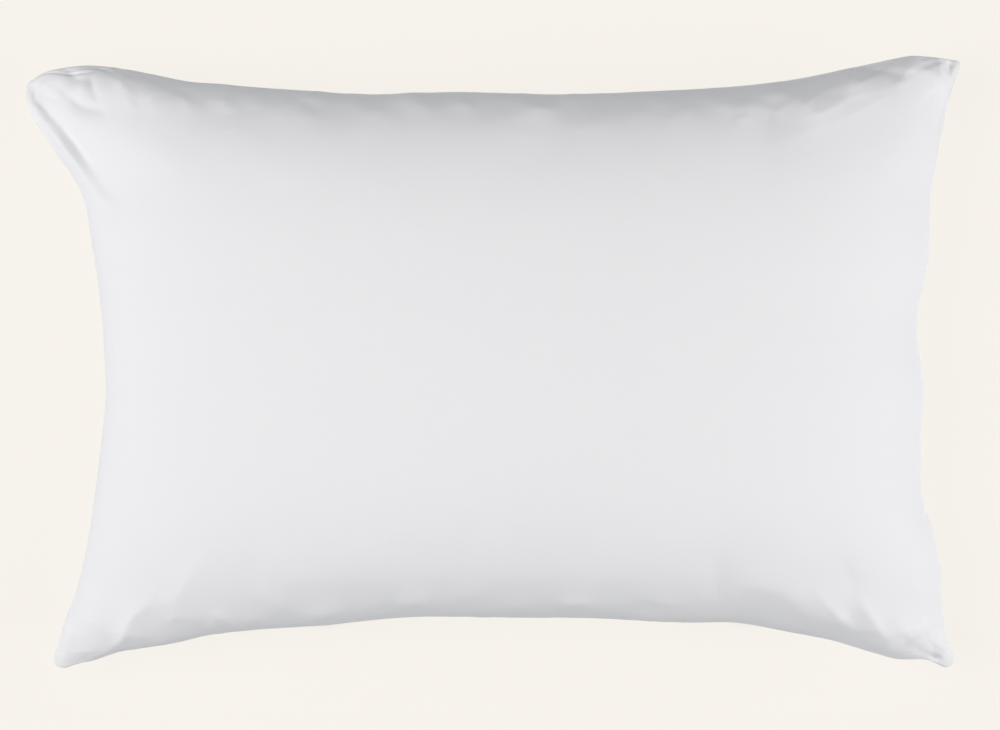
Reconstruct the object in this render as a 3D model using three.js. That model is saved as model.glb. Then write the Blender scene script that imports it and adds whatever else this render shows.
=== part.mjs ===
// Filled pillow protector, lying on its back.
//
// Two plain cotton panels, sewn together on all four sides, turned, and filled by a pillow. The seam runs round the outline:
// it is drawn in between four soft pointed corners. The front panel swells above the seam to a broad crown, the back panel
// swells below it and is pressed flat where it lies on the surface. The result is one closed filled solid.
//
// Millimetres, +X along the length, +Y across the width, +Z up out of the front panel. The origin is under the middle of
// the outline, on the surface that the back panel lies on.

import * as THREE from 'three';
import { ParametricGeometry } from 'three/addons/geometries/ParametricGeometry.js';
import { mergeGeometries, mergeVertices } from 'three/addons/utils/BufferGeometryUtils.js';

// ---------------------------------------------------------------- driving dimensions

const FRONT_RISE = 82; // middle of the front panel above the seam
const BACK_DROP = 124; // middle of the back panel below the seam, before the surface presses it flat
const FLAT_BLEND = 9; // height over which the pressed-flat patch curves up into the free back panel
const FULLNESS_X = 3.2; // how far the crown stays level along the length: higher is squarer
const FULLNESS_Y = 3.4; // the same across the width
const EDGE_ROUND = 0.5; // how roundly the panels leave the seam: 0.5 is a full half-round
const EAR_SLACK = 0.3; // share of the fill that doesn't reach into a corner
const EAR_REACH = 75; // how far from the tip that slack is felt
const STEPS_X = 48; // sections along the length
const STEPS_Y = 32; // sections across the width
const EDGE_CROWDING = 0.8; // how far the sections close up towards the seam, where the cloth turns fastest
const CLOTH = { color: 0xe7e7ea, roughness: 0.88, metalness: 0 };

// ---------------------------------------------------------------- seam outline

// Tip of each corner: place in plan and height of the seam there.
const CORNERS = {
  topLeft: { x: -360.3, y: 215.6, lift: 62 },
  topRight: { x: 361.8, y: 232.6, lift: 64 },
  bottomRight: { x: 354.9, y: -235.3, lift: 55 },
  bottomLeft: { x: -338.6, y: -234.9, lift: 54 },
};

// Each side runs straight between two tips and is drawn in from that line. One row for each section of the seam:
// along = share of the way from the first tip to the second, inset = how far the seam is drawn in towards the middle,
// lift = height of the seam above the surface.
const SIDES = {
  top: {
    first: 'topLeft', second: 'topRight',
    rows: [
      { along: 0.016, inset: -6.7, lift: 63 },
      { along: 0.038, inset: -10.6, lift: 64 },
      { along: 0.068, inset: -12.0, lift: 65 },
      { along: 0.102, inset: -8.7, lift: 66 },
      { along: 0.175, inset: 3.0, lift: 68 },
      { along: 0.303, inset: 11.7, lift: 71 },
      { along: 0.369, inset: 16.1, lift: 73 },
      { along: 0.434, inset: 15.1, lift: 74 },
      { along: 0.576, inset: 20.3, lift: 75 },
      { along: 0.656, inset: 19.3, lift: 74 },
      { along: 0.753, inset: 17.1, lift: 72 },
      { along: 0.871, inset: 5.9, lift: 69 },
      { along: 0.949, inset: -4.4, lift: 66 },
    ],
  },
  bottom: {
    first: 'bottomLeft', second: 'bottomRight',
    rows: [
      { along: 0.015, inset: -0.8, lift: 54 },
      { along: 0.073, inset: 10.9, lift: 57 },
      { along: 0.139, inset: 18.6, lift: 62 },
      { along: 0.173, inset: 24.4, lift: 64 },
      { along: 0.296, inset: 32.2, lift: 70 },
      { along: 0.396, inset: 39.2, lift: 73 },
      { along: 0.597, inset: 38.5, lift: 74 },
      { along: 0.759, inset: 34.7, lift: 70 },
      { along: 0.865, inset: 20.8, lift: 63 },
      { along: 0.943, inset: 5.2, lift: 58 },
      { along: 0.971, inset: 4.6, lift: 56 },
    ],
  },
  left: {
    first: 'bottomLeft', second: 'topLeft',
    rows: [
      { along: 0.016, inset: -0.4, lift: 54 },
      { along: 0.086, inset: 11.9, lift: 58 },
      { along: 0.227, inset: 32.0, lift: 67 },
      { along: 0.361, inset: 43.5, lift: 71 },
      { along: 0.459, inset: 50.2, lift: 73 },
      { along: 0.553, inset: 50.7, lift: 73 },
      { along: 0.729, inset: 44.5, lift: 71 },
      { along: 0.795, inset: 40.5, lift: 69 },
      { along: 0.876, inset: 20.6, lift: 66 },
      { along: 0.957, inset: 0.6, lift: 63 },
      { along: 0.980, inset: -2.2, lift: 62 },
    ],
  },
  right: {
    first: 'bottomRight', second: 'topRight',
    rows: [
      { along: 0.014, inset: -1.8, lift: 55 },
      { along: 0.080, inset: 7.5, lift: 58 },
      { along: 0.158, inset: 10.4, lift: 63 },
      { along: 0.273, inset: 24.4, lift: 69 },
      { along: 0.389, inset: 25.9, lift: 72 },
      { along: 0.463, inset: 25.3, lift: 73 },
      { along: 0.546, inset: 30.9, lift: 74 },
      { along: 0.595, inset: 30.1, lift: 73 },
      { along: 0.703, inset: 21.9, lift: 71 },
      { along: 0.778, inset: 21.7, lift: 70 },
      { along: 0.849, inset: 16.0, lift: 68 },
      { along: 0.962, inset: 4.4, lift: 65 },
    ],
  },
};

// ---------------------------------------------------------------- soft folds in the front panel

// One row for each fold, as it runs in plan from its start through its bend to its end: width = half-width of the fold,
// depth = how far it sinks into the panel (a negative depth is a ridge).
const FOLDS = [
  { at: 'top left, long trough beside the seam', fromX: -354, fromY: 203, bendX: -321, bendY: 158, toX: -286, toY: 120, width: 9, depth: 6.5 },
  { at: 'top left, ridge inside that trough', fromX: -340, fromY: 210, bendX: -303, bendY: 169, toX: -268, toY: 128, width: 13, depth: -3.5 },
  { at: 'top left, shallow dip across the corner', fromX: -338, fromY: 208, bendX: -318, bendY: 193, toX: -294, toY: 189, width: 8, depth: 3 },
  { at: 'top right, fold under the upper seam', fromX: 284, fromY: 228, bendX: 304, bendY: 224, toX: 322, toY: 216, width: 7, depth: 3.5 },
  { at: 'bottom left, ridge out of the corner', fromX: -312, fromY: -229, bendX: -280, bendY: -204, toX: -262, toY: -184, width: 8, depth: -4 },
  { at: 'bottom left, soft fold rising inwards', fromX: -240, fromY: -190, bendX: -226, bendY: -160, toX: -214, toY: -142, width: 10, depth: 2 },
  { at: 'bottom right, first soft fold', fromX: 300, fromY: -217, bendX: 288, bendY: -196, toX: 266, toY: -164, width: 9, depth: 2.5 },
  { at: 'bottom right, second soft fold', fromX: 268, fromY: -200, bendX: 252, bendY: -190, toX: 224, toY: -178, width: 9, depth: 2.5 },
  { at: 'bottom, upright fold off the seam', fromX: 177, fromY: -196, bendX: 173, bendY: -168, toX: 165, toY: -144, width: 8, depth: 2 },
];

// ---------------------------------------------------------------- the seam as curves

// Where a side's seam is at a share of its way: the straight line between its tips, drawn in by its rows.
function seamOf({ first, second, rows }) {
  const a = CORNERS[first];
  const b = CORNERS[second];
  const chord = new THREE.Vector2(b.x - a.x, b.y - a.y);
  const inward = new THREE.Vector2(-chord.y, chord.x).normalize();
  if (inward.dot(new THREE.Vector2(a.x + b.x, a.y + b.y)) > 0) inward.negate();
  const all = [{ along: 0, inset: 0, lift: a.lift }, ...rows, { along: 1, inset: 0, lift: b.lift }];
  const curve = new THREE.CubicInterpolant(all.map((row) => row.along), all.flatMap((row) => [row.inset, row.lift]), 2);
  return (along) => {
    const [inset, lift] = curve.evaluate(along);
    return new THREE.Vector3(a.x + chord.x * along + inward.x * inset, a.y + chord.y * along + inward.y * inset, lift);
  };
}

const seam = Object.fromEntries(Object.entries(SIDES).map(([name, side]) => [name, seamOf(side)]));
const tip = Object.fromEntries(Object.entries(CORNERS).map(([name, c]) => [name, new THREE.Vector3(c.x, c.y, c.lift)]));

// The sheet that the seam spans: a patch blended from its four sides. s runs along the length and t across the width, 0 to 1.
function seamSheet(s, t) {
  const across = seam.bottom(s).multiplyScalar(1 - t).addScaledVector(seam.top(s), t);
  const alongside = seam.left(t).multiplyScalar(1 - s).addScaledVector(seam.right(t), s);
  const tips = new THREE.Vector3()
    .addScaledVector(tip.bottomLeft, (1 - s) * (1 - t))
    .addScaledVector(tip.bottomRight, s * (1 - t))
    .addScaledVector(tip.topLeft, (1 - s) * t)
    .addScaledVector(tip.topRight, s * t);
  return across.add(alongside).sub(tips);
}

// ---------------------------------------------------------------- fill and folds

// Share of the full swell at a place: 1 in the middle, 0 on the seam, thin in the ears.
function swell(s, t, place) {
  const x = Math.abs(2 * s - 1);
  const y = Math.abs(2 * t - 1);
  const full = Math.pow((1 - x ** FULLNESS_X) * (1 - y ** FULLNESS_Y), EDGE_ROUND);
  const toTip = Math.min(...Object.values(tip).map((c) => Math.hypot(place.x - c.x, place.y - c.y)));
  return full * (1 - EAR_SLACK * Math.exp(-((toTip / EAR_REACH) ** 2)));
}

const foldPaths = FOLDS.map((row) => ({
  ...row,
  points: new THREE.QuadraticBezierCurve(
    new THREE.Vector2(row.fromX, row.fromY),
    new THREE.Vector2(2 * row.bendX - (row.fromX + row.toX) / 2, 2 * row.bendY - (row.fromY + row.toY) / 2),
    new THREE.Vector2(row.toX, row.toY),
  ).getPoints(24),
}));

// How far the folds sink the front panel at a place. Each fold fades out at both ends.
function foldDepth(place) {
  let depth = 0;
  for (const fold of foldPaths) {
    let nearest = Infinity;
    let share = 0;
    fold.points.forEach((p, i) => {
      const away = Math.hypot(place.x - p.x, place.y - p.y);
      if (away < nearest) [nearest, share] = [away, i / (fold.points.length - 1)];
    });
    depth += fold.depth * Math.exp(-((nearest / fold.width) ** 2)) * (0.35 + 0.65 * Math.sin(Math.PI * share));
  }
  return depth;
}

// Presses the back panel flat on the surface, with a soft bend round the flat patch.
function pressed(z) {
  if (z >= FLAT_BLEND) return z;
  return z <= -FLAT_BLEND ? 0 : (z + FLAT_BLEND) ** 2 / (4 * FLAT_BLEND);
}

// ---------------------------------------------------------------- the panels

// Sections crowd towards the seam.
function station(i, steps) {
  const even = i / steps;
  return THREE.MathUtils.lerp(even, (1 - Math.cos(Math.PI * even)) / 2, EDGE_CROWDING);
}

function panel(front) {
  const geometry = new ParametricGeometry((u, v, target) => {
    const i = Math.round((front ? u : 1 - u) * STEPS_X);
    const j = Math.round(v * STEPS_Y);
    const s = station(i, STEPS_X);
    const t = station(j, STEPS_Y);
    const place = seamSheet(s, t);
    if (i > 0 && i < STEPS_X && j > 0 && j < STEPS_Y) {
      const share = swell(s, t, place);
      if (front) {
        const rise = FRONT_RISE * share;
        place.z += Math.max(rise - foldDepth(place) * Math.min(1, rise / 12), rise * 0.4);
      } else {
        place.z = pressed(place.z - BACK_DROP * share);
      }
    }
    target.copy(place);
  }, STEPS_X, STEPS_Y);
  geometry.deleteAttribute('normal');
  geometry.deleteAttribute('uv');
  return geometry;
}

// The two panels meet in the seam and close into one solid, set with its outline centred over the origin.
function filledSolid() {
  const solid = mergeVertices(mergeGeometries([panel(true), panel(false)]), 1e-3);
  solid.computeBoundingBox();
  const middle = solid.boundingBox.getCenter(new THREE.Vector3());
  solid.translate(-middle.x, -middle.y, 0);
  solid.computeVertexNormals();
  return solid;
}

const pillowProtector = new THREE.Mesh(filledSolid(), new THREE.MeshStandardMaterial(CLOTH));
pillowProtector.name = 'pillow_protector';

const part = new THREE.Group();
part.add(pillowProtector);

export default part;
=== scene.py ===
"""Filled white pillow protector, lying on its back on a pale floor and seen from straight above its front panel."""

import math

import bpy
import numpy as np
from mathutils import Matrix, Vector


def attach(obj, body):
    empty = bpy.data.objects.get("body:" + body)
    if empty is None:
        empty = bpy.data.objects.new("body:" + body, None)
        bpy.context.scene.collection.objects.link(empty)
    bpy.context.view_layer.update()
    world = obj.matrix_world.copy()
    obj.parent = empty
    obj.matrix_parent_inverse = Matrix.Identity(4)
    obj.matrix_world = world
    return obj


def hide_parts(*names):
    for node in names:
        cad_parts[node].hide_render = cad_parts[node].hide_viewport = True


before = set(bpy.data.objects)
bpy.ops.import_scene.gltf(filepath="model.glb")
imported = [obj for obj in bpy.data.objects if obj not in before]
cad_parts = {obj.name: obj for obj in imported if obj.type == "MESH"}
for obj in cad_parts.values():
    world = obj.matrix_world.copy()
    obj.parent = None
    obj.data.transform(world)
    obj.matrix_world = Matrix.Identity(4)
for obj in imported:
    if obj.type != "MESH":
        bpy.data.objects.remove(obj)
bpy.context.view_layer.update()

MM = 0.001

# ------------------------------------------------------------------ sizes, in millimetres

FRONT_RISE = 82.0  # middle of the front panel above the seam
BACK_DROP = 124.0  # middle of the back panel below the seam, before the floor presses it flat
FLAT_BLEND = 9.0  # height over which the flat patch curves up into the free back panel
FULLNESS_X, FULLNESS_Y = 3.2, 3.4  # how far the crown stays level along the length and across the width
EDGE_ROUND = 0.5  # how roundly the panels leave the seam
EAR_SLACK, EAR_REACH = 0.3, 75.0  # share of the fill that doesn't reach into a corner, and how far that is felt
# The mesh's cells. Columns: distance from the seam over the cloth, size of a cell there.
CELLS = [(0, 0.5), (27, 2.3), (135, 2.3), (230, 6.0)]

# ------------------------------------------------------------------ seam outline

# x, y, lift: the tip of each corner and the height of the seam there
TIPS = {
    "top_left": (-360.3, 215.6, 62.0),
    "top_right": (361.8, 232.6, 64.0),
    "bottom_right": (356.6, -236.9, 55.0),
    "bottom_left": (-340.6, -236.4, 54.0),
}

# Each side is drawn in from the straight line between its two tips. Columns: along (share of the way from the first tip),
# inset (how far the seam is drawn in), lift (its height above the floor).
SIDES = {
    "top": ("top_left", "top_right", [
        (0.016, -6.7, 63), (0.038, -10.6, 64), (0.068, -12.0, 65), (0.102, -8.7, 66), (0.143, -2.2, 67), (0.175, 3.0, 68),
        (0.207, 5.2, 69), (0.239, 8.0, 70), (0.303, 12.5, 71), (0.369, 16.8, 73), (0.434, 16.3, 74), (0.496, 17.5, 75),
        (0.576, 20.3, 75), (0.656, 19.3, 74), (0.753, 17.1, 72), (0.817, 12.8, 70), (0.871, 5.9, 69), (0.920, -1.0, 67),
        (0.949, -4.4, 66), (0.973, -3.0, 65),
    ]),
    "bottom": ("bottom_left", "bottom_right", [
        (0.004, -1.4, 54), (0.012, -2.4, 54), (0.020, -0.4, 54), (0.030, 1.8, 55), (0.044, 3.9, 55), (0.073, 10.9, 57), (0.106, 14.7, 60), (0.139, 18.6, 62), (0.173, 24.4, 64),
        (0.229, 29.1, 67), (0.296, 32.2, 70), (0.396, 39.2, 73), (0.497, 39.3, 74), (0.597, 38.5, 74), (0.698, 35.1, 72),
        (0.759, 34.7, 70), (0.820, 27.0, 66), (0.865, 20.8, 63), (0.910, 11.2, 60), (0.937, 5.9, 58), (0.955, 5.3, 57),
        (0.968, 5.2, 56), (0.976, 4.0, 55), (0.984, 1.2, 55), (0.993, -1.4, 55),
    ]),
    "left": ("bottom_left", "top_left", [
        (0.016, -0.4, 54), (0.036, 3.5, 55), (0.086, 12.4, 58), (0.144, 23.2, 62), (0.227, 33.6, 67), (0.276, 38.0, 69),
        (0.361, 44.8, 71), (0.459, 51.3, 73), (0.553, 51.5, 73), (0.656, 49.0, 72), (0.729, 45.0, 71), (0.795, 40.9, 69),
        (0.835, 32.8, 68), (0.876, 20.6, 66), (0.924, 7.6, 64), (0.957, 0.6, 63), (0.980, -2.2, 62),
    ]),
    "right": ("bottom_right", "top_right", [
        (0.005, -1.6, 55), (0.013, -2.8, 55), (0.024, -1.0, 55), (0.036, 2.4, 56), (0.080, 7.5, 58), (0.158, 10.4, 63), (0.224, 17.4, 67), (0.273, 25.4, 69),
        (0.314, 27.6, 70), (0.389, 27.2, 72), (0.463, 26.6, 73), (0.546, 31.9, 74), (0.595, 31.0, 73), (0.645, 25.4, 72),
        (0.703, 22.5, 71), (0.778, 22.2, 70), (0.849, 16.0, 68), (0.915, 10.2, 66), (0.962, 4.4, 65), (0.990, -0.1, 64),
    ]),
}


def through(rows, column, at):
    """A smooth curve through a table's rows: its value at each share of the way."""
    x = np.array([row[0] for row in rows], float)
    y = np.array([row[column] for row in rows], float)
    slope = np.empty_like(y)
    slope[1:-1] = (y[2:] - y[:-2]) / (x[2:] - x[:-2])
    slope[0] = (y[1] - y[0]) / (x[1] - x[0])
    slope[-1] = (y[-1] - y[-2]) / (x[-1] - x[-2])
    i = np.clip(np.searchsorted(x, at, side="right") - 1, 0, len(x) - 2)
    h = x[i + 1] - x[i]
    p = (at - x[i]) / h
    return (
        y[i] * (1 + 2 * p) * (1 - p) ** 2
        + slope[i] * h * p * (1 - p) ** 2
        + y[i + 1] * p * p * (3 - 2 * p)
        + slope[i + 1] * h * p * p * (p - 1)
    )


def seam(name, along):
    """Points of one side's seam at these shares of the way."""
    first, second, rows = SIDES[name]
    a, b = np.array(TIPS[first]), np.array(TIPS[second])
    rows = [(0.0, 0.0, a[2]), *rows, (1.0, 0.0, b[2])]
    chord = (b - a)[:2]
    inward = np.array([-chord[1], chord[0]]) / np.hypot(*chord)
    if inward @ (a + b)[:2] > 0:
        inward = -inward
    plan = a[:2] + np.outer(along, chord) + np.outer(through(rows, 1, along), inward)
    return np.column_stack([plan, through(rows, 2, along)])


def panels(s, t):
    """The front and back panel as grids of points, [row, column, xyz], at these shares of the length and the width."""
    top, bottom = seam("top", s)[None], seam("bottom", s)[None]
    left, right = seam("left", t)[:, None], seam("right", t)[:, None]
    S, T = s[None, :, None], t[:, None, None]
    tip = {k: np.array(v) for k, v in TIPS.items()}
    sheet = (
        bottom * (1 - T) + top * T + left * (1 - S) + right * S
        - tip["bottom_left"] * (1 - S) * (1 - T) - tip["bottom_right"] * S * (1 - T)
        - tip["top_left"] * (1 - S) * T - tip["top_right"] * S * T
    )
    full = ((1 - np.abs(2 * S - 1) ** FULLNESS_X) * (1 - np.abs(2 * T - 1) ** FULLNESS_Y))[..., 0]
    full = np.clip(full, 0, 1) ** EDGE_ROUND
    to_tip = np.min([np.hypot(sheet[..., 0] - c[0], sheet[..., 1] - c[1]) for c in tip.values()], axis=0)
    full = full * (1 - EAR_SLACK * np.exp(-((to_tip / EAR_REACH) ** 2)))
    front, back = sheet.copy(), sheet.copy()
    front[..., 2] += FRONT_RISE * full
    z = sheet[..., 2] - BACK_DROP * full
    back[..., 2] = np.where(z >= FLAT_BLEND, z, np.where(z <= -FLAT_BLEND, 0.0, (z + FLAT_BLEND) ** 2 / (4 * FLAT_BLEND)))
    return front, back


def lengths(line):
    """Distance along a line of points, from its first one."""
    return np.concatenate([[0.0], np.cumsum(np.linalg.norm(np.diff(line, axis=0), axis=1))])


def stations(cells):
    """Shares of the length and of the width for a grid's columns and rows, each with its distance over the cloth."""
    fine, middle = 0.5 * np.linspace(0, 1, 4001) ** 4, np.array([0.5])
    made = []
    for line in (panels(fine, middle)[0][0], panels(middle, fine)[0][:, 0]):
        run = lengths(line)
        places = [0.0]
        while places[-1] < run[-1]:
            places.append(places[-1] + np.interp(places[-1], *zip(*cells)))
        places = np.array(places) * run[-1] / places[-1]
        half = np.interp(places, run, fine)
        made.append((np.concatenate([half, 1 - half[-2::-1]]), np.concatenate([places, 2 * run[-1] - places[-2::-1]])))
    return made


def normals(grid, up):
    """Unit normals of a grid of points, out of the pillow."""
    n = np.cross(np.gradient(grid, axis=1), np.gradient(grid, axis=0))
    n /= np.maximum(np.linalg.norm(n, axis=2, keepdims=True), 1e-12)
    return n if up else -n


def to_sides(grid):
    """How far each point is from each side's seam, over the cloth."""
    across = np.linalg.norm(np.diff(grid, axis=0), axis=2)
    along = np.linalg.norm(np.diff(grid, axis=1), axis=2)
    from_bottom = np.vstack([np.zeros((1, grid.shape[1])), np.cumsum(across, axis=0)])
    from_left = np.hstack([np.zeros((grid.shape[0], 1)), np.cumsum(along, axis=1)])
    return {
        "bottom": from_bottom, "top": from_bottom[-1] - from_bottom,
        "left": from_left, "right": from_left[:, -1:] - from_left,
    }


# ------------------------------------------------------------------ creases in the front panel

SPREAD = 0.6  # how fast a fold softens along its way, as a share of the distance from its crest
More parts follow.
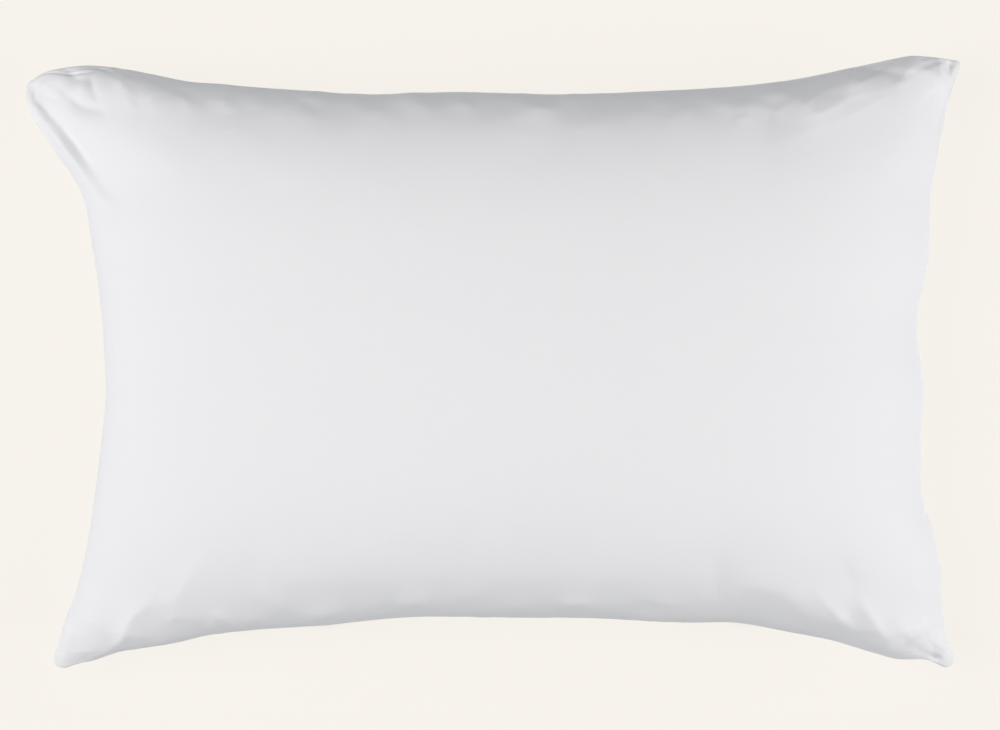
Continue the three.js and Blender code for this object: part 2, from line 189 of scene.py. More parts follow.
# Each fold is one line in plan. Columns: name, how far it falls away on its left and on its right (seen along its way),
# radius of its crest, and the points of its line: x, y, height (a trough has a height below zero).
FOLDS = [
    # top left: the long trough beside the left seam, a dip and two short dents inside it, the roll of the upper edge
    ("ear trough", 15, 6.2, 2.6, [
        (-355.7, 206.3, -3.4), (-347.9, 198.5, -7.6), (-340.2, 190, -8.6), (-333.2, 183.1, -7.8),
        (-326.2, 174.5, -8.8), (-317.7, 163.7, -9.2), (-310.8, 154.4, -8.2), (-302.2, 142.8, -5.8),
        (-292.2, 129.6, -3), (-282.1, 118, -1), (-271.3, 107.2, 0),
    ]),
    ("rim ridge", 6, 3.5, 1.5, [
        (-359.1, 203.2, 0), (-354.1, 193.9, 2.3), (-346.4, 184.2, 2.6), (-340.2, 176.9, 3), (-333.6, 168.3, 4.2),
        (-325.1, 157.1, 5.2), (-318.1, 147.8, 5), (-309.6, 136.2, 3.7), (-299.5, 123.1, 1.9), (-288.7, 110.7, 0),
    ]),
    ("ear dip", 6, 6, 1.8, [
        (-340.9, 212.5, -1.6), (-329.3, 205.5, -4), (-320, 199.3, -4.8), (-312.3, 194.7, -4.6), (-302.2, 192.7, -3.2),
        (-290.6, 187.7, 0),
    ]),
    ("upper dent", 4, 5, 1.8, [(-310, 220.2, -0.8), (-308.4, 213.2, -2.8), (-305.3, 204.7, -2.6), (-298.4, 194.7, 0)]),
    ("small dent", 3.6, 4, 1.8, [(-327.8, 216.3, -1), (-322.4, 215.6, -1.6), (-316.2, 214.8, -0.4)]),
    ("ear ridge", 12, 9, 5, [
        (-344, 214.8, 0), (-331.7, 197.8, 1), (-319.3, 182.3, 1.5), (-305.3, 163.7, 1.4), (-289.9, 142, 0.8),
        (-277.5, 126.5, 0),
    ]),
    ("upper roll", 2.6, 5, 0.8, [
        (-322.4, 223.3, 0), (-316.2, 223.8, 0.9), (-309.2, 224.1, 1.3), (-302.2, 223.9, 1.2), (-294.5, 222.9, 0.5),
    ]),
    ("ear seam", 1.3, 1.5, 0.3, [
        (-345.6, 221.8, 0), (-340.2, 221.9, -0.7), (-327, 222.1, -1), (-311.5, 222.6, -1), (-300.7, 223.1, -0.7),
        (-293.7, 223.6, 0),
    ]),
    ("edge roll", 7.5, 23, 0.8, [
        (-300.7, 224.1, 0), (-286.8, 220.2, 3.6), (-275.2, 215.9, 4.3), (-263.5, 211.7, 4.7), (-253.5, 207.8, 4.5),
        (-241.9, 202.4, 3.8), (-231, 197, 2.4), (-215.6, 190.8, 0),
    ]),
    ("edge bump", 3, 6, 0.8, [(-241.9, 210.1, 0), (-234.1, 210.1, 0.9), (-227.2, 207.8, 0.9), (-219.4, 201.6, 0)]),
    ("edge bump", 3, 4.4, 0.7, [(-289.5, 210.5, 0), (-283.3, 213.2, 1), (-276.3, 211.3, 0)]),
    ("edge bump", 3, 5, 0.9, [(-272.1, 203.9, 0), (-264.3, 207, 0.6), (-256.6, 203.9, 0)]),
    ("edge bump", 3.4, 5, 1, [(-255.4, 194.7, 0), (-248.5, 198.1, 0.7), (-241.5, 194.7, 0)]),
    # top right: fold under the upper seam with its lip, notch and ridge behind the tip, wedge in the dark edge
    ("upper fold", 6.5, 5.5, 1.2, [
        (276.7, 228.7, 0), (287.2, 226.4, -3.1), (298, 224.1, -3.9), (305.7, 221.8, -3.6), (311.9, 219.4, -2.2),
        (318.1, 215.6, 0),
    ]),
    ("upper lip", 9, 9, 1, [
        (303, 229.5, 0), (311.5, 226.4, 1.4), (320, 224.5, 3.2), (328.6, 223.9, 3.6), (335.5, 224.2, 2.2),
        (342.5, 225.2, 0),
    ]),
    ("tip ridge", 5, 4, 1.4, [(344.4, 237.2, 2.8), (345.2, 229.5, 3.6), (345.6, 220.2, 2.6), (347.9, 207.8, 0)]),
    ("tip notch", 2.6, 2.8, 0.8, [(354.5, 236.5, -3.4), (354.1, 230.3, -4.8), (353.3, 224.8, -3.6), (352.6, 219.4, 0)]),
    ("wedge ridge", 9, 8, 1.6, [
        (227.2, 180.7, 0), (235.7, 183.1, 1.3), (245, 185.8, 2.3), (253.5, 189.2, 2.5), (261.2, 193.9, 2.3),
        (269.7, 199.3, 2), (280.6, 203.2, 1.7), (292.2, 206.3, 1.2), (307.7, 210.9, 0),
    ]),
    ("inner wedge", 6, 6, 0.8, [
        (245, 203.2, 0), (250.4, 205.5, 1.6), (258.1, 207.8, 2), (267.4, 210.1, 1.8), (278.3, 212.5, 1.2),
        (289.1, 214.8, 0),
    ]),
    ("edge roll", 9, 8, 1, [
        (182.3, 194.7, 0), (195.4, 197.8, 1), (208.6, 200.9, 1.6), (219.4, 203.2, 1.6), (230.3, 206.3, 0.8),
        (239.6, 210.1, 0),
    ]),
    ("wedge side", 4, 7, 1.4, [
        (227.9, 214.8, 0), (231, 206.3, 1.1), (233.4, 197.8, 1.6), (234.9, 189.2, 1.2), (235.7, 181.5, 0),
    ]),
    ("tooth", 6, 5, 1.2, [(233.4, 186.9, 0), (237.2, 193.1, 1.4), (241.9, 198.1, 2), (246.5, 202.8, 1.4), (251.9, 207, 0)]),
    ("long ridge", 9.5, 12, 1.2, [
        (200.9, 160.6, 0), (226.4, 169.1, 0.7), (247.3, 176.9, 1.5), (269, 186.1, 1.6), (290.6, 196.6, 1.6),
        (310.8, 207, 0),
    ]),
    ("edge dent", 4, 4, 1.5, [(273.6, 224.1, -0.8), (278.3, 219.4, -1.6), (282.9, 213.2, 0)]),
    ("inner dent", 4, 4, 1.5, [(337.1, 208.6, 0), (334.8, 203.2, -1.4), (333.2, 197, -1.2), (330.9, 191.6, 0)]),
    # bottom left: the crest out of the corner, lit on its left and dark on its right, and softer ones that follow it
    ("corner crest", 13, 12, 1, [
        (-311.5, -231.8, 1.4), (-302.2, -228.3, 4.2), (-294.5, -223.3, 7), (-288.3, -217.9, 9.2),
        (-282.9, -211.7, 10.1), (-279.8, -203.9, 9.5), (-275.2, -196.2, 7.8), (-269, -190, 5.3), (-261.2, -183.1, 2.5),
        (-251.9, -176.1, 0),
    ]),
    ("second crest", 10, 13, 1.6, [
        (-258.9, -190, 0), (-249.6, -185.4, 2), (-241.1, -181.5, 2.8), (-235.7, -173, 2.8), (-228.7, -163.7, 2.2),
        (-222.5, -153.6, 1.4), (-216.3, -143.6, 0),
    ]),
    ("wedge ridge", 8, 6, 0.8, [
        (-226.4, -186.1, 0), (-216.3, -191.6, 1.4), (-207, -197.8, 4.4), (-198.5, -203.6, 3.8), (-187.7, -210.1, 0),
    ]),
    ("wedge side", 4, 8, 0.8, [(-213.2, -189.2, 0), (-213.6, -197, 1.6), (-214.4, -203.2, 3.6), (-216.3, -210.9, 3.2)]),
    ("fourth crest", 9, 9, 1.8, [
        (-164.5, -130.4, 0), (-166, -148.2, 1.7), (-167.6, -166, 2.2), (-169.9, -179.2, 1.5), (-172.2, -189.2, 0),
    ]),
    ("fifth crest", 7, 4, 0.9, [
        (-183.1, -174.5, 0), (-173.8, -177.6, 0.9), (-166, -183.1, 1.5), (-159.1, -191.6, 1.1), (-154.4, -200.1, 0),
    ]),
    ("small crest", 5, 6, 1.2, [(-162.2, -179.2, 0), (-151.3, -169.9, 0.6), (-139.7, -159.8, 0.6), (-130.4, -152.1, 0)]),
    ("nose fold", 5, 4, 0.7, [
        (-325.5, -227.9, 0), (-320, -224.8, 1.3), (-313.9, -224.1, 1.8), (-306.9, -224.8, 1.2), (-300.7, -227.2, 0),
    ]),
    # bottom right: step and roll in the lower edge, crests that fan out of the corner, short crease and notch at the tip
    ("edge step", 3.5, 9, 1.4, [(173, -169.9, 0), (174.9, -178.4, 0.8), (176.9, -185.4, 1.8), (177.6, -201.6, 1.7)]),
    ("edge roll", 24, 12, 6, [
        (154.4, -167.6, 0), (166.8, -167.6, 1), (177.6, -168.3, 2.8), (193.1, -169.9, 4.6), (207, -172.2, 5.2),
        (221, -176.1, 5), (234.9, -181.5, 4), (247.3, -187.7, 2.2), (258.1, -193.9, 0),
    ]),
    ("streak", 6, 6, 3, [
        (166.8, -135.1, 0), (168.3, -145.1, -1), (169.9, -156, -2.4), (170.7, -167.6, -3.2), (171.4, -180, -2.8),
        (172.2, -190.8, -1.4),
    ]),
    ("first crest", 6, 6, 1.4, [(216.3, -176.9, 0), (225.6, -183.1, 1), (234.1, -190, 1.4), (242.6, -197.8, 0)]),
    ("second crest", 9, 11, 1.4, [
        (241.1, -169.1, 0), (251.2, -181.5, 2.4), (260.5, -192, 4.8), (268.2, -200.1, 4.8), (276.7, -206.7, 2.4),
        (285.2, -212.5, 0),
    ]),
    ("third crest", 10, 12, 1.6, [
        (260.5, -151.3, 0), (270.5, -168.3, 1.1), (279, -181.5, 3.2), (287.5, -193.1, 5.2), (295.3, -203.9, 4.8),
        (303, -215.6, 3), (308.4, -225.6, 1),
    ]),
    ("streak", 7, 7, 3, [(262.8, -145.9, 0), (268.2, -161.4, -1.7), (274.4, -175.3, -2), (280.6, -189.2, 0)]),
    ("fourth crest", 6, 7, 1.6, [(303, -186.9, 0), (310, -197.8, 0.8), (316.2, -207, 0.9), (322.4, -213.2, 0)]),
    ("short crease", 3.4, 6, 0.8, [
        (317.7, -221, 0), (322.4, -216.3, 2.8), (327.8, -210.1, 4.4), (332.4, -204.7, 3.8), (339.4, -195.4, 0),
    ]),
    ("tip notch", 2.3, 2, 1, [
        (334, -228.7, 0), (337.9, -229.2, -0.7), (340.9, -229.8, -2.8), (343.7, -230.6, -5.2), (346, -231.3, -4.2),
        (348.7, -232.6, 0),
    ]),
    ("tip dent", 3.2, 3.2, 1.4, [(320.8, -226.4, -0.6), (328.6, -224.8, -0.5), (336.3, -226.4, 0)]),
    # upper edge: one long swell, and short crumples, each lit on its inner side
    ("upper swell", 24, 45, 16, [
        (-206.3, 183.8, 0), (-172.2, 182.3, 3.6), (-133.5, 180.3, 6.8), (-71.6, 178.4, 7.6), (-9.7, 178.8, 7.6),
        (52.2, 178, 7.6), (114.2, 178.8, 7.6), (160.6, 181.1, 6.8), (191.6, 182.7, 3.6), (208.6, 183.8, 0),
    ]),
    ("crumple", 5, 5, 0.8, [(-158.3, 204.7, 0), (-150.5, 200.9, -3.24), (-142, 195.4, -3.42), (-132, 189.2, 0)]),
    ("crumple", 4, 6, 0.8, [(-149.8, 203.2, 0), (-140.5, 202.4, 2.88), (-132, 199.3, 2.52), (-122.7, 193.9, 0)]),
    ("crumple", 7, 6, 0.9, [
        (-121.1, 200.9, 0), (-109.5, 196.2, 1.8), (-97.9, 190.8, 2.34), (-87.1, 184.6, 1.62), (-76.2, 177.6, 0),
    ]),
    ("crumple", 4, 5, 0.8, [(-82.4, 196.2, 0), (-72.4, 198.9, 2.52), (-63.9, 197.8, 2.88), (-53, 191.6, 1.98), (-36, 180, 0)]),
    ("crumple", 7, 5, 1.4, [(5, 194.7, 0), (8.9, 183.8, 1.26), (15.1, 174.5, 1.44), (27.5, 168.3, 0.9), (43, 164.5, 0)]),
    ("crumple", 4, 5, 0.8, [(25.9, 193.9, 0), (35.2, 190, 2.52), (45.3, 190, 0)]),
    ("crumple", 3, 6, 0.8, [(46.8, 198.5, 0), (53.8, 200.1, 2.52), (63.1, 197, 0)]),
    ("crumple", 4, 4, 0.8, [(120.4, 198.5, 0), (129.6, 195.4, 2.88), (140.5, 196.2, 0)]),
    ("crumple", 4.5, 6, 0.8, [
        (149.8, 204.7, 0), (162.2, 203.9, 2.16), (171.4, 199.3, 3.42), (177.6, 192.3, 2.88), (181.5, 185.4, 0),
    ]),
    ("crumple", 4.4, 5, 0.8, [(183.1, 186.9, 0), (190.8, 183.4, 1.62), (199.3, 185, 0)]),
    # lower edge: one long swell, and short wedges between the puckers
    ("lower swell", 40, 14, 9, [
        (-172.2, -165.2, 0), (-133.5, -164.5, 2.2), (-87.1, -163.7, 4), (-17.4, -162.9, 3.8), (52.2, -163.7, 3.6),
        (106.4, -165.2, 4), (152.9, -166.8, 3), (183.8, -167.6, 0),
    ]),
    ("wedge", 8, 5, 0.7, [(-71.6, -190, 0), (-63.1, -183.8, 3.52), (-55.3, -186.1, 3.36), (-46.8, -193.9, 0)]),
    ("wedge", 8, 5, 0.7, [(55.3, -190.8, 0), (64.6, -184.6, 3.52), (73.1, -186.9, 3.36), (81.7, -193.9, 0)]),
    ("wedge", 6, 4, 0.7, [(-145.1, -197.8, 0), (-138.2, -193.1, 2.24), (-131.2, -194.7, 2.08), (-124.2, -199.3, 0)]),
    ("crumple", 6, 6, 1, [(-42.2, -193.9, 0), (-29, -184.6, 1.76), (-17.4, -175.3, 1.76), (-5, -166.8, 0)]),
]


def fold(points, row):
    """How far one fold lifts the panel at each point. Away from its crest it changes more slowly along its way."""
    name, left, right, crest, stops = row
    stops = np.array(stops, float)
    run = np.concatenate([[0], np.cumsum(np.hypot(*np.diff(stops[:, :2], axis=0).T))])
    at = np.linspace(0, run[-1], 121)
    x, y, height = (through(np.column_stack([run, stops[:, k]]), 1, at) for k in range(3))
    path = np.column_stack([x, y])
    spreads = np.array([0.0, 2.0, 4.0, 8.0, 16.0, 32.0])
    curves = [height]
    for spread in spreads[1:]:
        weight = np.exp(-(((at[:, None] - at) / spread) ** 2) / 2) * at[1] / (spread * math.sqrt(2 * math.pi))
        curves.append(weight @ height)
    reach = 5 * max(left, right)
    near = ((points[:, :2] > path.min(0) - reach) & (points[:, :2] < path.max(0) + reach)).all(1)
    gap = points[near, None, :2] - path[None]
    which = np.argmin((gap**2).sum(2), axis=1)
    way = np.gradient(path, axis=0)
    offset = gap[np.arange(len(which)), which]
    far = np.hypot(offset[:, 0], offset[:, 1])
    across = way[which, 0] * offset[:, 1] - way[which, 1] * offset[:, 0]
    side = across / np.maximum(far * np.hypot(way[which, 0], way[which, 1]), 1e-9)  # 1 on the left, -1 on the right
    width = right + (left - right) * (1 + side) / 2
    level = np.interp(SPREAD * far, spreads, np.arange(len(spreads)))
    lower = np.minimum(level.astype(int), len(spreads) - 2)
    curves = np.array(curves)
    here = curves[lower, which] * (1 + lower - level) + curves[lower + 1, which] * (level - lower)
    out = np.zeros(len(points))
    out[near] = here * np.exp(-(np.hypot(far, crest) - crest) / width)
    return out


# ------------------------------------------------------------------ seam line and puckers

# How far the seam line has rolled on to the front panel, in millimetres over the cloth. Columns: along, roll. Where it is
# below zero the seam lies just under the widest line and doesn't show from above.
ROLL = {
    "top": [(0.0, 0.0), (0.015, 2.0), (0.03, 5.5), (0.044, 10.0), (0.067, 13.0), (0.078, 11.0), (0.089, 6.0), (0.10, 2.0),
            (0.12, -1.5), (0.3, -3.0), (0.5, -2.0), (0.7, -3.0), (0.86, -1.0), (0.95, 0.5), (1.0, 0.0)],
    "bottom": [(0.0, 0.0), (0.05, -1.0), (0.2, -3.0), (0.5, -1.5), (0.75, -3.0), (0.92, -1.0), (1.0, 0.0)],
    "left": [(0.0, 0.0), (0.1, -1.0), (0.3, -2.0), (0.55, -3.0), (0.8, -2.0), (0.93, -1.0), (1.0, 0.0)],
    "right": [(0.0, 0.0), (0.08, -1.0), (0.3, -2.0), (0.55, -3.0), (0.68, -1.0), (0.75, 4.0), (0.80, 9.0), (0.84, 8.0),
              (0.91, 8.0), (0.95, 4.0), (1.0, 0.0)],
}
GROOVE, GROOVE_WIDTH = 0.6, 0.9  # the seam line's depth and half-width
LIP, LIP_AT, LIP_WIDTH = 0.25, 2.8, 1.8  # the soft roll of cloth on both sides of it


def seam_relief(away, roll):
    """Relief across the seam at a distance over the cloth from the widest line: a groove between two soft rolls."""
    n = away - roll
    lips = np.exp(-(((n - LIP_AT) / LIP_WIDTH) ** 2)) + np.exp(-(((n + LIP_AT) / LIP_WIDTH) ** 2))
    return LIP * lips - GROOVE * np.exp(-((n / GROOVE_WIDTH) ** 2))


PUCKER = {"top": 0.9, "bottom": 0.9, "left": 0.5, "right": 0.5}  # how deep each side's short puckers are
CRUMPLES = {"top": (44, 2.4), "bottom": (30, 2.0), "left": (10, 0.5), "right": (12, 0.6)}  # soft crumples: how many, how tall
WAVE, WAVE_REACH = 0.8, 14.0  # how far the seam waves up and down, and how far into the panels that is felt


def pucker_rows(name, length, dice):
    """Short puckers square to one side: place, half-width, reach into the panel, slant and depth of each."""
    rows, at = [], dice.uniform(10, 24)
    while at < length - 10:
        deep = dice.uniform(0.1, 0.9) * dice.choice([1, 1, -0.6]) * PUCKER[name]
        rows.append((at, dice.uniform(2.5, 6.0), dice.uniform(9, 28), dice.uniform(-0.4, 0.4), deep))
        at += dice.uniform(10, 25)
    return rows


def crumple_rows(name, dice):
    """Soft crumples that lean away from one side, in the same columns as the folds."""
    count, tall = CRUMPLES[name]
    rows = []
    for k in range(count):
        along = 0.04 + 0.92 * (k + dice.uniform(0, 1)) / count
        a, b = seam(name, np.array([along, along + 0.002]))[:, :2]
        way = (b - a) / np.hypot(*(b - a))
        inward = np.array([-way[1], way[0]])
        inward *= -np.sign(inward @ a)
        lean = math.radians(dice.uniform(35, 80)) * dice.choice([-1, 1])
        span = (inward * math.cos(lean) + way * math.sin(lean)) * dice.uniform(14, 36)
        start = a + inward * dice.uniform(3, 18)
        bend = start + span / 2 + dice.uniform(-3, 3, 2)
        height = tall * dice.uniform(0.4, 1.0)
        stops = [(*start, 0.3 * height), (*bend, height), (*(start + span), 0.0)]
        outer, inner = dice.uniform(3, 7), dice.uniform(5, 10)
        widths = (outer, inner) if span[0] * inward[1] - span[1] * inward[0] < 0 else (inner, outer)
        rows.append((name, *widths, dice.uniform(0.6, 1.5), stops))
    return rows


def seam_wave(at, dice):
    """A slow uneven wave along a seam."""
    total = np.zeros(at.shape)
    for length in (19.0, 27.0, 41.0, 67.0, 110.0):
        total += np.sin(2 * np.pi * (at / length + dice.uniform())) * dice.uniform(0.4, 1.0)
    return total / 2.2


def carry(places, at):
    """Weights that carry values at evenly spaced places to other places, on smooth curves."""
    x = np.clip(at / (places[1] - places[0]), 0, len(places) - 1)
    i = np.minimum(x.astype(int), len(places) - 2)
    f = x - i
    weights = np.zeros((len(at), len(places)))
    for k, c in (
        (-1, -(f**3) / 2 + f**2 - f / 2), (0, 1.5 * f**3 - 2.5 * f**2 + 1),
        (1, -1.5 * f**3 + 2 * f**2 + f / 2), (2, f**3 / 2 - f**2 / 2),
    ):
        np.add.at(weights, (np.arange(len(at)), np.clip(i + k, 0, len(places) - 1)), c)
    return weights


def shape(settled):
    """Both panels in their final form: settled cloth, folds, crumples, puckers and the seam line."""
    dice = np.random.default_rng(74)
    (s, over_s), (t, over_t) = stations(CELLS)
    front, back = panels(s, t)
    size = front.shape[:2]
    lying = back[..., 2] <= 0.0
    out = {"front": normals(front, True), "back": normals(back, False)}
    reach = {"front": to_sides(front), "back": to_sides(back)}
    relief, groove = ({k: np.zeros(size) for k in out} for _ in range(2))
    wave = {k: np.zeros(size) for k in out}
    for name in SIDES:
        share = (s[None, :] if name in ("top", "bottom") else t[:, None]) + np.zeros(size)
        known = np.linspace(0, 1, 801)
        run = lengths(seam(name, known))
        at = np.interp(share, known, run)
        roll = through(ROLL[name], 1, share)
        rows = pucker_rows(name, run[-1], dice)
        swing = seam_wave(at, dice) * np.clip(np.minimum(at, run[-1] - at) / 40, 0, 1)
        for side, sign in (("front", 1), ("back", -1)):
            away = reach[side][name]
            line = seam_relief(sign * away, roll)
            groove[side] = np.where(np.abs(line) > np.abs(groove[side]), line, groove[side])
            wave[side] += WAVE * swing * np.exp(-((away / WAVE_REACH) ** 2))
            for place, width, deep, slant, depth in rows:
                w = width * (1 + away / deep)
                relief[side] -= depth * np.exp(-(((at - place - slant * away) / w) ** 2) - (away / deep) ** 1.5)
        for side, grid in (("front", front), ("back", back)):
            for row in crumple_rows(name, dice):
                relief[side] += fold(grid.reshape(-1, 3), row).reshape(size)
    lift = sum(fold(front.reshape(-1, 3), row) for row in FOLDS).reshape(size)
    if settled is not None:
        moved, places_s, places_t = settled
        across, along = carry(places_t, over_t), carry(places_s, over_s)
        for side in out:
            carried = np.einsum("ij,jkc,lk->ilc", across, moved[side], along, optimize=True)
            relief[side] += np.clip((carried * out[side]).sum(2), -CAP, CAP)
    # in the thin ears the two panels stay apart
    thick = np.linalg.norm(front - back, axis=2)
    ease, line_ease = np.clip(thick / 14, 0, 1), np.clip(thick / 4 + 0.5, 0, 1)
    step = {k: (relief[k] * ease + groove[k] * line_ease)[..., None] * out[k] for k in out}
    # on the seam both panels move as one
    edge = np.zeros(size, bool)
    edge[[0, -1]] = True
    edge[:, [0, -1]] = True
    step["front"][edge] = step["back"][edge] = ((step["front"] + step["back"]) / 2)[edge]
    front, back = front + step["front"], back + step["back"]
    front[..., 2] += wave["front"] + lift * ease
    back[..., 2] = np.where(lying, 0.0, np.maximum(back[..., 2] + wave["back"], 0.0))
    return front, back


def weld(front, back):
    """Both panels as one closed set of points and four-sided faces, and where each grid point of a panel went."""
    ny, nx = front.shape[:2]
    at_front = np.arange(ny * nx).reshape(ny, nx)
    at_back = at_front.copy()
    at_back[1:-1, 1:-1] = ny * nx + np.arange((ny - 2) * (nx - 2)).reshape(ny - 2, nx - 2)
    points = np.vstack([front.reshape(-1, 3), back[1:-1, 1:-1].reshape(-1, 3)])

    def cells(at):
        return np.stack([at[:-1, :-1], at[:-1, 1:], at[1:, 1:], at[1:, :-1]], axis=-1).reshape(-1, 4)

    return points, np.vstack([cells(at_front), cells(at_back)[:, ::-1]]), at_front, at_back


def new_mesh(name, points, faces):
    mesh = bpy.data.meshes.new(name)
    mesh.vertices.add(len(points))
    mesh.vertices.foreach_set("co", (points * MM).astype(np.float32).ravel())
    mesh.loops.add(faces.size)
    mesh.loops.foreach_set("vertex_index", faces.astype(np.int32).ravel())
    mesh.polygons.add(len(faces))
    mesh.polygons.foreach_set("loop_start", np.arange(0, faces.size, 4, dtype=np.int32))
    mesh.polygons.foreach_set("loop_total", np.full(len(faces), 4, np.int32))
    mesh.polygons.foreach_set("use_smooth", np.ones(len(faces), bool))
    return mesh


def build_mesh(name, front, back):
    """One closed mesh of both panels, with the cloth's own flat coordinates in metres as its UV map."""
    ny, nx = front.shape[:2]
    points, faces, at_front, at_back = weld(front, back)
    points[:, :2] -= (points.min(0) + points.max(0))[:2] / 2
    mesh = new_mesh(name, points, faces)
    # flat cloth: 750 x 500 mm for each panel, the back one beside the front one
    dx = np.linalg.norm(np.diff(front, axis=1), axis=2).mean(0)
    dy = np.linalg.norm(np.diff(front, axis=0), axis=2).mean(1)
    u = np.concatenate([[0], np.cumsum(dx)]) / dx.sum() * 0.75
    v = np.concatenate([[0], np.cumsum(dy)]) / dy.sum() * 0.5
    uv = np.stack(np.meshgrid(u, v), axis=-1)

    def corner_uv(shift, flip):
        q = np.stack([uv[:-1, :-1], uv[:-1, 1:], uv[1:, 1:], uv[1:, :-1]], axis=2).reshape(-1, 4, 2)
        return (q[:, ::-1] if flip else q) + np.array([0.0, shift])

    flat = np.vstack([corner_uv(0.0, False), corner_uv(0.52, True)])
    layer = mesh.uv_layers.new(name="cloth")
    layer.data.foreach_set("uv", flat.astype(np.float32).ravel())
    mesh.update()
    mesh.validate()
    return mesh


# ------------------------------------------------------------------ cloth simulation

SIM_CELL = 6.0  # cells of the cloth while it settles
SIM_FRAMES = 20
SPARE = {"top": 0.07, "bottom": 0.06, "left": 0.035, "right": 0.035}  # spare cloth at each side's seam
SPARE_REACH = {"top": 50.0, "bottom": 45.0, "left": 32.0, "right": 32.0}  # how far into the panels it goes
PRESSURE = 6.0
BEND = 0.8  # stiffness of the cloth against bending
CAP = 6.0  # the most that a point of the cloth may move


def soften(field, size):
    """A grid of values smoothed over about this many cells."""
    reach = np.arange(-int(3 * size), int(3 * size) + 1)
    weight = np.exp(-((reach / size) ** 2) / 2)
    weight /= weight.sum()
    for axis in (0, 1):
        pad = [(0, 0)] * field.ndim
        pad[axis] = (len(reach) // 2,) * 2
        padded = np.pad(field, pad, mode="edge")
        field = sum(w * np.take(padded, range(k, k + field.shape[axis]), axis=axis) for k, w in enumerate(weight))
    return field


def settle():
    """Let the sewn and filled cloth settle under the pillow's pressure; how far each point of both panels moves."""
    dice = np.random.default_rng(11)
    (s, places_s), (t, places_t) = stations([(0, SIM_CELL)])
    front, back = panels(s, t)
    points, faces, at_front, at_back = weld(front, back)
    edge = np.zeros(len(points), bool)
    edge[np.concatenate([at_front[0], at_front[-1], at_front[:, 0], at_front[:, -1]])] = True
    held_here = edge | (points[:, 2] <= 0.0)
    # a slightly uneven start and uneven spare cloth, so that the puckers don't come out regular
    start, spare = points.copy(), np.zeros(len(points))
    for at, grid in ((at_front, front), (at_back, back)):
        rough = soften(dice.normal(size=at.shape), 2.0) * 1.5
        start[at, 2] += np.where(held_here[at], 0.0, rough)
        uneven = 1 + 0.5 * np.clip(soften(dice.normal(size=at.shape), 5.0) * 16, -1, 1)
        sides = to_sides(grid)
        spare[at] = np.max([SPARE[n] * np.exp(-((sides[n] / SPARE_REACH[n]) ** 2)) for n in SIDES], axis=0) * uneven
    most = spare.max()
    mesh = new_mesh("settling", start, faces)
    mesh.update()
    cloth = bpy.data.objects.new("settling", mesh)
    bpy.context.scene.collection.objects.link(cloth)
    held = cloth.vertex_groups.new(name="held")
    held.add(np.flatnonzero(held_here).tolist(), 1.0, "REPLACE")
    slack = cloth.vertex_groups.new(name="slack")
    level = np.round(spare / most, 2)
    for value in np.unique(level):
        slack.add(np.flatnonzero(level == value).tolist(), float(value), "REPLACE")
    sim = cloth.modifiers.new("cloth", "CLOTH")
    sim.settings.quality = 6
    sim.settings.mass = 0.3
    sim.settings.tension_stiffness = sim.settings.compression_stiffness = 15.0
    sim.settings.shear_stiffness = 5.0
    sim.settings.bending_stiffness = BEND
    sim.settings.vertex_group_mass = "held"
    sim.settings.use_pressure = True
    sim.settings.uniform_pressure_force = PRESSURE
    sim.settings.vertex_group_shrink = "slack"
    sim.settings.shrink_min, sim.settings.shrink_max = 0.0, -most
    sim.settings.effector_weights.gravity = 0.0
    sim.collision_settings.use_collision = False
    sim.collision_settings.use_self_collision = False
    sim.point_cache.frame_start, sim.point_cache.frame_end = 1, SIM_FRAMES
    for number in range(1, SIM_FRAMES + 1):
        bpy.context.scene.frame_set(number)
    settled = cloth.evaluated_get(bpy.context.evaluated_depsgraph_get())
    moved = np.empty(len(points) * 3, np.float32)
    settled.data.vertices.foreach_get("co", moved)
    moved = moved.reshape(-1, 3) / MM - points
    bpy.context.scene.frame_set(1)
    bpy.data.objects.remove(cloth)
    bpy.data.meshes.remove(mesh)
    return {"front": moved[at_front], "back": moved[at_back]}, places_s, places_t


front, back = shape(settle())
pillow = bpy.data.objects.new("pillow_cover", build_mesh("pillow_cover", front, back))
bpy.context.scene.collection.objects.link(pillow)

# ------------------------------------------------------------------ white cotton


def node(tree, kind, **values):
    made = tree.nodes.new(kind)
    for key, value in values.items():
        if key.startswith("in_"):
            name = key[3:]
            made.inputs[int(name) if name.isdigit() else name].default_value = value
        else:
            setattr(made, key, value)
    return made


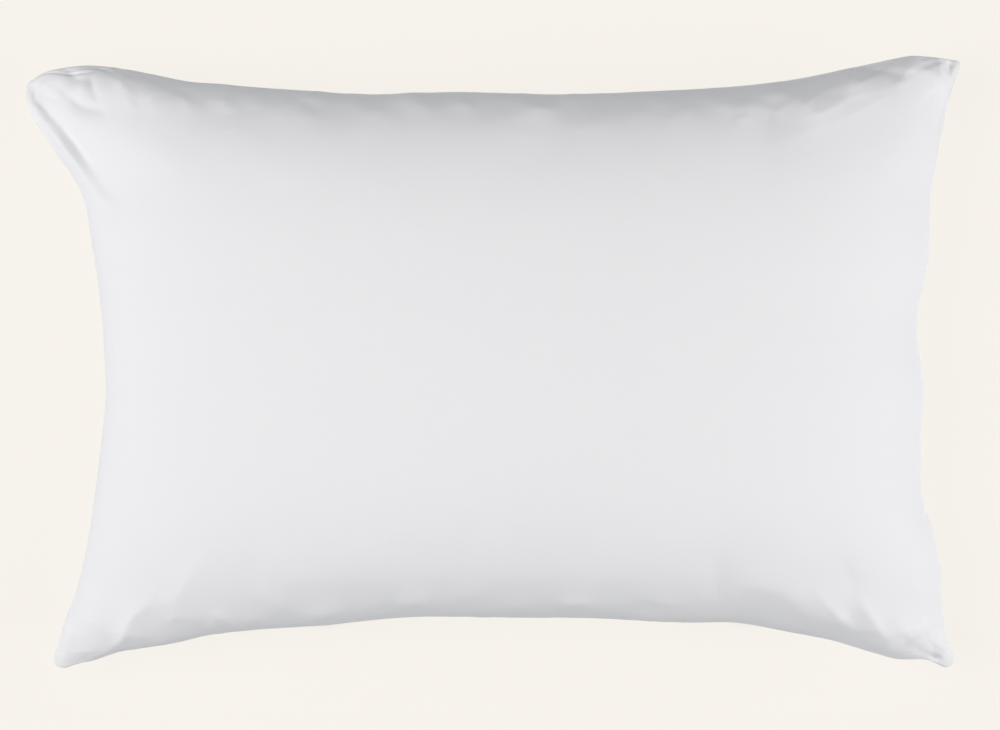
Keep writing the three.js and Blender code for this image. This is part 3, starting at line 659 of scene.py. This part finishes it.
def cotton():
    mat = bpy.data.materials.new("white_cotton")
    mat.use_nodes = True
    tree = mat.node_tree
    tree.nodes.clear()
    link = tree.links.new
    out = node(tree, "ShaderNodeOutputMaterial")
    cloth = node(tree, "ShaderNodeBsdfPrincipled")
    cloth.inputs["Metallic"].default_value = 0.0
    cloth.inputs["Specular IOR Level"].default_value = 0.25
    cloth.inputs["Sheen Weight"].default_value = 0.06
    cloth.inputs["Sheen Roughness"].default_value = 0.5
    cloth.inputs["Sheen Tint"].default_value = (1.0, 1.0, 1.0, 1.0)
    link(cloth.outputs["BSDF"], out.inputs["Surface"])
    where = node(tree, "ShaderNodeUVMap", uv_map="cloth")
    # plain weave: over and under threads, about 0.42 mm apart
    pitch = 0.00042
    scaled = node(tree, "ShaderNodeVectorMath", operation="SCALE")
    scaled.inputs["Scale"].default_value = math.pi / pitch
    link(where.outputs["UV"], scaled.inputs[0])
    part = node(tree, "ShaderNodeSeparateXYZ")
    link(scaled.outputs["Vector"], part.inputs[0])
    wave_u = node(tree, "ShaderNodeMath", operation="SINE")
    wave_v = node(tree, "ShaderNodeMath", operation="SINE")
    link(part.outputs["X"], wave_u.inputs[0])
    link(part.outputs["Y"], wave_v.inputs[0])
    weave = node(tree, "ShaderNodeMath", operation="MULTIPLY")
    link(wave_u.outputs[0], weave.inputs[0])
    link(wave_v.outputs[0], weave.inputs[1])
    # uneven yarn: long thin streaks both ways
    streaks = []
    for scale in ((16.0, 700.0, 1.0), (700.0, 16.0, 1.0)):
        stretch = node(tree, "ShaderNodeMapping")
        stretch.inputs["Scale"].default_value = scale
        link(where.outputs["UV"], stretch.inputs["Vector"])
        noise = node(tree, "ShaderNodeTexNoise", in_Scale=1.0, in_Detail=2.0, in_Roughness=0.55)
        link(stretch.outputs["Vector"], noise.inputs["Vector"])
        streaks.append(noise)
    yarn = node(tree, "ShaderNodeMath", operation="ADD")
    link(streaks[0].outputs["Fac"], yarn.inputs[0])
    link(streaks[1].outputs["Fac"], yarn.inputs[1])
    # colour: white, hardly uneven
    tone = node(tree, "ShaderNodeMapRange")
    tone.inputs["From Min"].default_value = 0.7
    tone.inputs["From Max"].default_value = 1.3
    link(yarn.outputs[0], tone.inputs["Value"])
    shade = node(tree, "ShaderNodeMix", data_type="RGBA")
    shade.inputs[6].default_value = (0.803, 0.801, 0.815, 1.0)
    shade.inputs[7].default_value = (0.811, 0.809, 0.823, 1.0)
    link(tone.outputs["Result"], shade.inputs[0])
    link(shade.outputs[2], cloth.inputs["Base Color"])
    rough = node(tree, "ShaderNodeMapRange")
    rough.inputs["From Min"].default_value = 0.7
    rough.inputs["From Max"].default_value = 1.3
    rough.inputs["To Min"].default_value = 0.82
    rough.inputs["To Max"].default_value = 0.92
    link(yarn.outputs[0], rough.inputs["Value"])
    link(rough.outputs["Result"], cloth.inputs["Roughness"])
    fine = node(tree, "ShaderNodeBump")
    fine.inputs["Strength"].default_value = 0.25
    fine.inputs["Distance"].default_value = 0.00006
    link(weave.outputs[0], fine.inputs["Height"])
    slub = node(tree, "ShaderNodeBump")
    slub.inputs["Strength"].default_value = 0.15
    slub.inputs["Distance"].default_value = 0.00012
    link(yarn.outputs[0], slub.inputs["Height"])
    link(fine.outputs["Normal"], slub.inputs["Normal"])
    link(slub.outputs["Normal"], cloth.inputs["Normal"])
    return mat


pillow.data.materials.append(cotton())
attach(pillow, "root")
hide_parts("pillow_protector")

# ------------------------------------------------------------------ floor, light, camera

FLOOR_COLOUR = (0.930, 0.896, 0.840)
FLOOR_OWN = 0.92  # share of the floor's paleness that doesn't depend on the lamps, so that shadows stay faint
OVERHANG = 0.025

floor_mesh = bpy.data.meshes.new("floor")
floor_mesh.from_pydata([(-40, -40, 0), (40, -40, 0), (40, 40, 0), (-40, 40, 0)], [], [(0, 1, 2, 3)])
floor = bpy.data.objects.new("floor", floor_mesh)
bpy.context.scene.collection.objects.link(floor)
pale = bpy.data.materials.new("pale_floor")
pale.use_nodes = True
shader = pale.node_tree.nodes["Principled BSDF"]
shader.inputs["Base Color"].default_value = tuple(c * (1 - FLOOR_OWN) for c in FLOOR_COLOUR) + (1.0,)
shader.inputs["Roughness"].default_value = 1.0
shader.inputs["Specular IOR Level"].default_value = 0.0
shader.inputs["Emission Color"].default_value = FLOOR_COLOUR + (1.0,)
# painted contact shadow: an ambient-occlusion mask dims the floor's glow only where the pillow hangs closely over it
near = node(pale.node_tree, "ShaderNodeAmbientOcclusion", samples=8, in_Distance=OVERHANG)
# painted shade: the glow's strength, lowered where the occlusion mask finds the pillow close above
painted_contact_shade = node(pale.node_tree, "ShaderNodeMapRange", in_1=0.1)
painted_contact_shade.inputs["To Min"].default_value = 0.45 * FLOOR_OWN
painted_contact_shade.inputs["To Max"].default_value = FLOOR_OWN
pale.node_tree.links.new(near.outputs["AO"], painted_contact_shade.inputs["Value"])
pale.node_tree.links.new(painted_contact_shade.outputs["Result"], shader.inputs["Emission Strength"])
pale.cycles.emission_sampling = "NONE"
floor.data.materials.append(pale)
# what the floor throws back onto the pillow comes from the lower half of the surroundings instead
floor.visible_diffuse = floor.visible_shadow = False


# Square soft boxes round the pillow, all aimed at its middle. Columns: name, azimuth, elevation, power.
BOX_AWAY, BOX_SIDE, BOX_AIM = 2.6, 1.4, Vector((0.0, 0.0, 0.08))
BOXES = [
    ("left", 180, 20, 24.8),
    ("left_high", 180, 62, 43.8),
    ("right", 0, 20, 44.5),
    ("right_near", -35, 50, 13.2),
]


def softbox(name, azimuth, elevation, power):
    lamp = bpy.data.lights.new(name, "AREA")
    lamp.shape = "SQUARE"
    lamp.size = BOX_SIDE
    lamp.energy = power
    made = bpy.data.objects.new(name, lamp)
    a, e = math.radians(azimuth), math.radians(elevation)
    way = Vector((math.cos(e) * math.cos(a), math.cos(e) * math.sin(a), math.sin(e)))
    made.location = BOX_AIM + way * BOX_AWAY
    made.rotation_euler = (-way).to_track_quat("-Z", "Y").to_euler()
    made.visible_camera = False
    bpy.context.scene.collection.objects.link(made)
    return made


for row in BOXES:
    softbox(*row)

# Even light from below for what the floor throws back, fading out towards the two ends.
FROM_BELOW = 1.226
world = bpy.data.worlds.new("studio")
bpy.context.scene.world = world
world.use_nodes = True
around = world.node_tree
dome = around.nodes["Background"]
dome.inputs["Color"].default_value = (0.975, 1.005, 1.025, 1.0)
way = node(around, "ShaderNodeSeparateXYZ")
around.links.new(node(around, "ShaderNodeTexCoord").outputs["Generated"], way.inputs[0])
endways = node(around, "ShaderNodeMath", operation="MULTIPLY")
around.links.new(way.outputs["X"], endways.inputs[0])
around.links.new(way.outputs["X"], endways.inputs[1])
fading = node(around, "ShaderNodeMath", operation="MULTIPLY_ADD", in_1=-FROM_BELOW, in_2=FROM_BELOW)
around.links.new(endways.outputs[0], fading.inputs[0])
below = node(around, "ShaderNodeMath", operation="LESS_THAN", in_1=0.0)
around.links.new(way.outputs["Z"], below.inputs[0])
strength = node(around, "ShaderNodeMath", operation="MULTIPLY")
around.links.new(below.outputs[0], strength.inputs[0])
around.links.new(fading.outputs[0], strength.inputs[1])
around.links.new(strength.outputs[0], dome.inputs["Strength"])
sky = node(around, "ShaderNodeBackground")
sky.inputs["Color"].default_value = tuple(c * 0.9 for c in FLOOR_COLOUR) + (1.0,)
seen = node(around, "ShaderNodeMixShader")
around.links.new(node(around, "ShaderNodeLightPath").outputs["Is Camera Ray"], seen.inputs["Fac"])
around.links.new(dome.outputs["Background"], seen.inputs[1])
around.links.new(sky.outputs["Background"], seen.inputs[2])
around.links.new(seen.outputs["Shader"], around.nodes["World Output"].inputs["Surface"])

scene = bpy.context.scene
scene.view_settings.view_transform = "Standard"
scene.view_settings.look = "None"

# The picture is 1000 x 730; at the height of the seam one of its pixels is 0.774 mm.
PIXEL, SEAM_LEVEL, CAMERA_HEIGHT = 0.774 * MM, 0.066, 2.6
camera_data = bpy.data.cameras.new("camera")
camera_data.sensor_width = 36.0
camera_data.lens = 36.0 * (CAMERA_HEIGHT - SEAM_LEVEL) / (1000 * PIXEL)
camera_data.clip_end = 100.0
camera = bpy.data.objects.new("camera", camera_data)
camera.location = (0.0056, -0.0020, CAMERA_HEIGHT)
bpy.context.scene.collection.objects.link(camera)
scene.camera = camera
